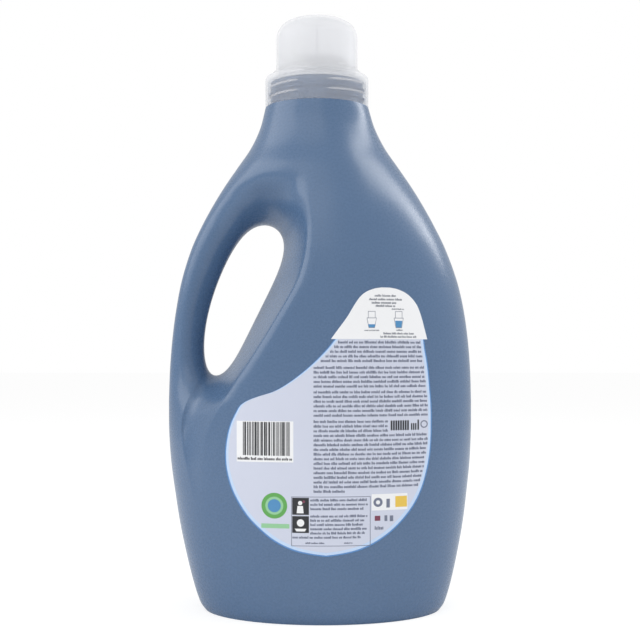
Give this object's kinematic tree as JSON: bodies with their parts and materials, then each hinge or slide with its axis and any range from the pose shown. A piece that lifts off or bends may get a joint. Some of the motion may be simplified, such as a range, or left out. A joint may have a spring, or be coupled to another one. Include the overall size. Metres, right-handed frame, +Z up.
{
  "type": "fabric softener bottle",
  "caption": "Hollow jug bottle with a moulded side grip, a pouring fitment in the neck and a lift-off dosing cap.",
  "frame": {"origin": "centre of the bounding box in X and Y at the height of the standing ring", "axes": "+Z up along the bottle, +X away from the grip, -Y is the side with the label"},
  "size_m": [0.1681, 0.1075, 0.3276],
  "materials": {
    "bottle_hdpe": "blow-moulded polyethylene, satin",
    "spout_pp": "injection-moulded polypropylene, natural",
    "cap_pp": "injection-moulded clarified polypropylene, frosted clear",
    "label_film": "printed film, satin"
  },
  "bodies": {
    "jug": {"bottle": "bottle_hdpe", "pour_spout": "spout_pp", "back_label": "label_film"},
    "cap": {"dosing_cap": "cap_pp"}
  },
  "joints": [
    {"name": "cap_lift", "type": "slide", "parent": "jug", "child": "cap", "axis": [0, 0, 1], "range_m": [0, 0.045]}
  ]
}
